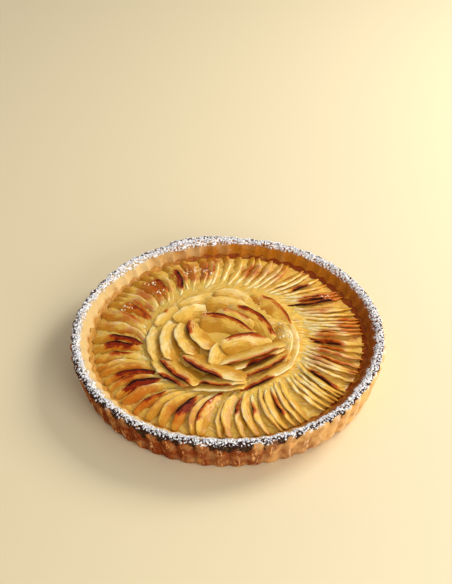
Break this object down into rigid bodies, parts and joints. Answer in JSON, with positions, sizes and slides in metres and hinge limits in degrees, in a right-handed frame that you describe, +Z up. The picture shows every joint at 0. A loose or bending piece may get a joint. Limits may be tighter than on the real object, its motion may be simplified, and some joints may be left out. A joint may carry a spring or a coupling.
{
  "type": "apple tart",
  "caption": "Round French apple tart in a deep fluted shortcrust shell, with a fan of thin baked apple slices around a rose of larger slices.",
  "frame": {"origin": "middle of the flat underside of the pastry shell, on the surface the tart stands on", "axes": "+Z up; the picture was taken from the -Y side, with +X to its right"},
  "size_m": [0.2732, 0.273, 0.0374],
  "materials": {
    "crust": "baked shortcrust, golden brown, sugar dusted on the rim",
    "compote": "glazed apple compote, amber",
    "fan_apple": "baked apple under a thin glaze, burnt along some edges",
    "rose_apple": "baked apple under a thin glaze, burnt along some edges"
  },
  "bodies": {
    "root": {"pastry_shell": "crust", "apple_compote": "compote", "apple_fan": "fan_apple", "rose_slice_01": "rose_apple", "rose_slice_02": "rose_apple", "rose_slice_03": "rose_apple", "rose_slice_04": "rose_apple", "rose_slice_05": "rose_apple", "rose_slice_06": "rose_apple", "rose_slice_07": "rose_apple", "rose_slice_08": "rose_apple", "rose_slice_09": "rose_apple", "rose_slice_10": "rose_apple", "rose_slice_11": "rose_apple", "rose_slice_12": "rose_apple", "rose_slice_13": "rose_apple", "rose_slice_14": "rose_apple", "rose_slice_15": "rose_apple", "rose_slice_16": "rose_apple", "rose_slice_17": "rose_apple", "rose_slice_18": "rose_apple", "rose_slice_19": "rose_apple", "rose_slice_20": "rose_apple", "rose_slice_21": "rose_apple", "rose_slice_22": "rose_apple", "rose_slice_23": "rose_apple", "rose_slice_24": "rose_apple", "rose_slice_25": "rose_apple", "rose_slice_26": "rose_apple"}
  },
  "joints": []
}
